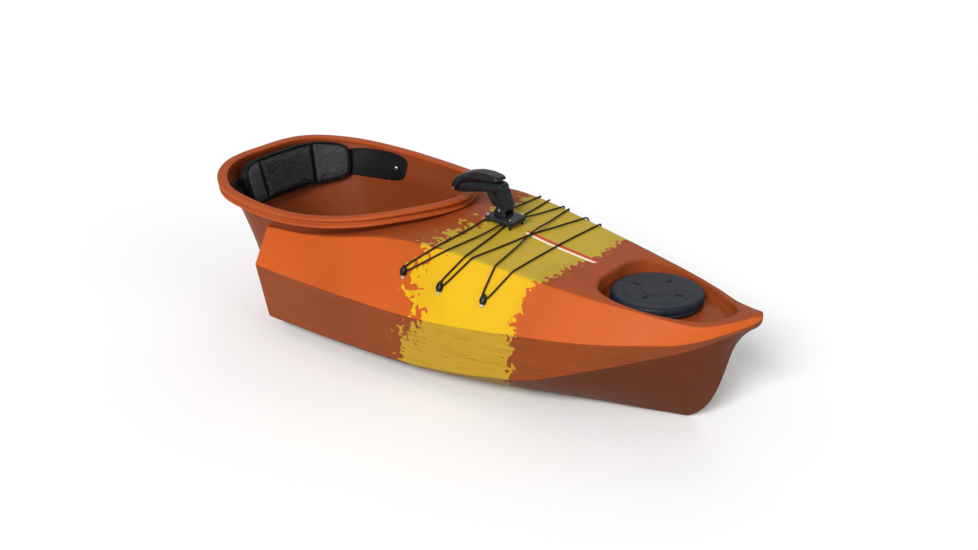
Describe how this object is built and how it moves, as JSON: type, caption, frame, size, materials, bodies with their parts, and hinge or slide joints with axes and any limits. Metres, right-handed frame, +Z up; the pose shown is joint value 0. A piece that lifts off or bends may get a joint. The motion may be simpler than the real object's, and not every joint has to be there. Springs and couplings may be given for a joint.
{
  "type": "kayak bow section",
  "caption": "Bow section of a modular sit-in kayak: chined hull, open cockpit with a rear overhang, backrest, corded foredeck, folding brace and a round bow hatch.",
  "frame": {"origin": "on the ground under the middle of the overall length and beam", "axes": "+X towards the bow, +Y to port, +Z up"},
  "size_m": [1.7604, 0.7018, 0.5468],
  "materials": {
    "hull_plastic": "satin rotomoulded",
    "rim_plastic": "satin rotomoulded",
    "hatch_rubber": "satin",
    "ring_plastic": "matte",
    "gasket_rubber": "matte",
    "foam": "matte closed cell",
    "cord_elastic": "braided",
    "hook_plastic": "satin",
    "brace_plastic": "satin textured",
    "stainless": "brushed",
    "seat_plastic": "matte",
    "seat_fabric": "woven",
    "back_mesh": "mesh",
    "back_pad": "brushed",
    "back_wing": "coated"
  },
  "bodies": {
    "hull": {"hull_moulding": "hull_plastic", "deck_moulding": "hull_plastic", "cockpit_tub": "hull_plastic", "coaming_rim": "rim_plastic", "bow_bulkhead": "foam", "hatch_ring": "ring_plastic", "hatch_gasket": "gasket_rubber", "deck_cord": "cord_elastic", "hook_screws": "stainless", "brace_plate": "brace_plastic", "brace_plate_screws": "stainless", "brace_fold_pin": "stainless", "seat_pan": "seat_plastic", "seat_cushion": "seat_fabric", "backrest_board": "seat_plastic", "backrest_centre_pad": "back_mesh", "backrest_port_pad": "back_pad", "backrest_starboard_pad": "back_pad", "backrest_port_wing": "back_wing", "backrest_starboard_wing": "back_wing", "backrest_buttons": "stainless", "cord_hook_a_starboard": "hook_plastic", "cord_hook_a_port": "hook_plastic", "cord_hook_b_starboard": "hook_plastic", "cord_hook_b_port": "hook_plastic", "cord_hook_c_starboard": "hook_plastic", "cord_hook_c_port": "hook_plastic", "foot_rail_port": "stainless", "foot_rail_starboard": "stainless"},
    "cover": {"hatch_cover": "hatch_rubber"},
    "brace_arm": {"brace_post": "brace_plastic", "brace_head": "brace_plastic", "brace_tip_pin": "stainless"},
    "lever": {"brace_lever": "brace_plastic"},
    "pedal_port": {"foot_pedal_port": "seat_plastic"},
    "pedal_starboard": {"foot_pedal_starboard": "seat_plastic"}
  },
  "joints": [
    {"name": "hatch_lift", "type": "slide", "parent": "hull", "child": "cover", "axis": [0, 0, 1], "range_m": [0, 0.12]},
    {"name": "brace_fold", "type": "hinge", "parent": "hull", "child": "brace_arm", "pos_m": [0.086, 0, 0.45075], "axis": [0, 1, 0], "range_deg": [0, 45]},
    {"name": "lever_open", "type": "hinge", "parent": "brace_arm", "child": "lever", "pos_m": [-0.074, 0, 0.48275], "axis": [0, -1, 0], "range_deg": [0, 60]},
    {"name": "pedal_port_slide", "type": "slide", "parent": "hull", "child": "pedal_port", "axis": [1, 0, 0], "range_m": [-0.08, 0.08]},
    {"name": "pedal_starboard_slide", "type": "slide", "parent": "hull", "child": "pedal_starboard", "axis": [1, 0, 0], "range_m": [-0.08, 0.08]}
  ]
}
